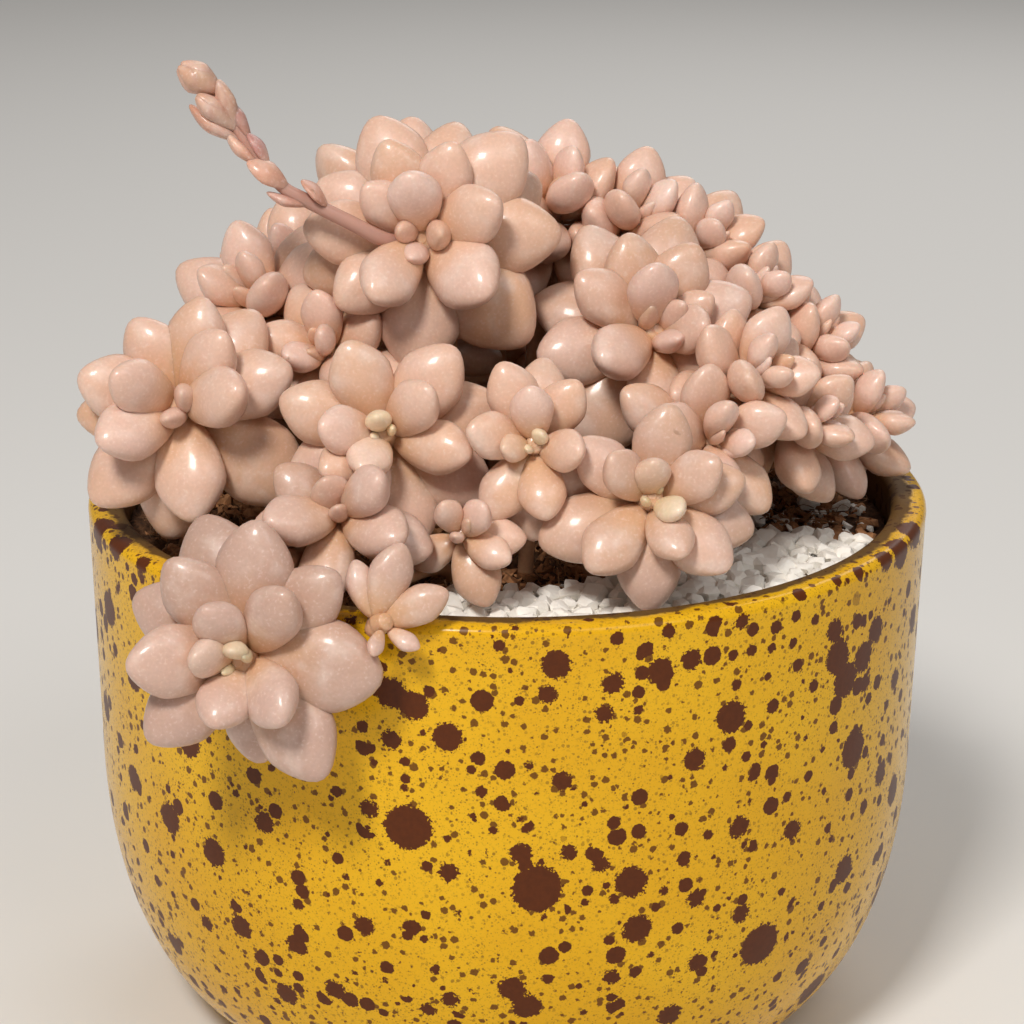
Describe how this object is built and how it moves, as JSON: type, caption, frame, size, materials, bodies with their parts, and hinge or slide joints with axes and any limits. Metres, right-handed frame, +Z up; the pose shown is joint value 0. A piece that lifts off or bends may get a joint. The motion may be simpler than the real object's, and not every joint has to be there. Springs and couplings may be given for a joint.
{
  "type": "potted succulent",
  "caption": "Graptopetalum in a speckled glazed pot: a mound of plump-leaved rosettes on fleshy stems, some over the rim, with a flower stalk, soil and white gravel.",
  "frame": {"origin": "centre of the pot's flat foot, on the surface that it stands on", "axes": "+Z up, -Y towards the side of the plant that faces the viewer, +X to that viewer's right"},
  "size_m": [0.12, 0.1309, 0.1419],
  "materials": {
    "glaze": "gloss",
    "soil": "matte",
    "gravel": "matte",
    "leaf": "satin",
    "stalk": "satin"
  },
  "bodies": {
    "root": {"flower_stalk": "stalk", "gravel": "gravel", "pot": "glaze", "soil": "soil", "stem_back_left": "leaf", "stem_back_left_low": "leaf", "stem_back_middle": "leaf", "stem_back_right": "leaf", "stem_back_right_low": "leaf", "stem_back_top": "leaf", "stem_back_top_left": "leaf", "stem_back_top_right": "leaf", "stem_brow": "leaf", "stem_cap": "leaf", "stem_crown": "leaf", "stem_gully": "leaf", "stem_left": "leaf", "stem_nest": "leaf", "stem_peak": "leaf", "stem_ridge_left": "leaf", "stem_ridge_right": "leaf", "stem_rim": "leaf", "stem_shoulder": "leaf", "stem_slope_end": "leaf", "stem_slope_front": "leaf", "stem_slope_inner": "leaf", "stem_slope_lower": "leaf", "stem_slope_top": "leaf", "stem_slope_upper": "leaf", "stem_spill": "leaf", "stem_sprig": "leaf", "stem_tuck": "leaf", "stem_under": "leaf", "stem_wing_front": "leaf", "stem_wing_top": "leaf"}
  },
  "joints": []
}
